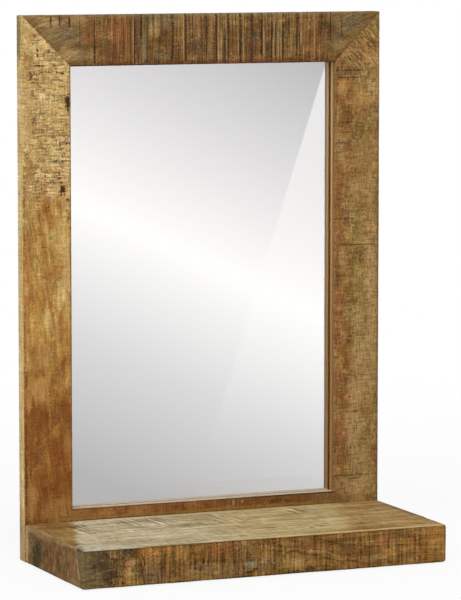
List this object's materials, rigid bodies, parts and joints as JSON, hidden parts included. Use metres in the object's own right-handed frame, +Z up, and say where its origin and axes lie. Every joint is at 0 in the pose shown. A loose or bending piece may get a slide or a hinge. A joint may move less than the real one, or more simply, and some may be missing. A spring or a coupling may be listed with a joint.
{
  "type": "wall mirror with shelf",
  "caption": "Wall mirror in a mitred frame of rough-sawn hardwood boards, with a thick solid shelf across its foot and keyhole plates let into the back.",
  "frame": {"origin": "middle of the underside of the whole mirror, half way between the wall and the shelf's front edge", "axes": "+X to the viewer's right, +Y into the wall, +Z up; the mirror faces -Y and its back lies at y = +0.115 m"},
  "size_m": [0.5, 0.23, 0.7],
  "materials": {
    "golden_hardwood": "rough-sawn, under a satin clear lacquer",
    "brown_hardwood": "rough-sawn, under a satin clear lacquer",
    "red_hardwood": "rough-sawn, under a satin clear lacquer",
    "pale_hardwood": "planed and scraped, under a satin clear lacquer",
    "beech": "plain, unfinished",
    "clear_glass": "polished float glass",
    "silvering": "silvered, painted behind",
    "hardboard": "pressed fibreboard, smooth",
    "zinc_plated_steel": "bright zinc plate"
  },
  "bodies": {
    "root": {"left_stile": "golden_hardwood", "right_stile": "brown_hardwood", "top_rail": "brown_hardwood", "bottom_rail": "red_hardwood", "corner_biscuit_top_left": "beech", "corner_biscuit_top_right": "beech", "corner_biscuit_bottom_left": "beech", "corner_biscuit_bottom_right": "beech", "mirror_glass": "clear_glass", "silver_coat": "silvering", "back_panel": "hardboard", "back_panel_screws": "zinc_plated_steel", "hanger_plate_left": "zinc_plated_steel", "hanger_plate_right": "zinc_plated_steel", "hanger_screws": "zinc_plated_steel", "shelf_back_stave": "pale_hardwood", "shelf_front_stave": "pale_hardwood", "shelf_dowel_left": "beech", "shelf_dowel_right": "beech", "shelf_screws": "zinc_plated_steel"}
  },
  "joints": []
}
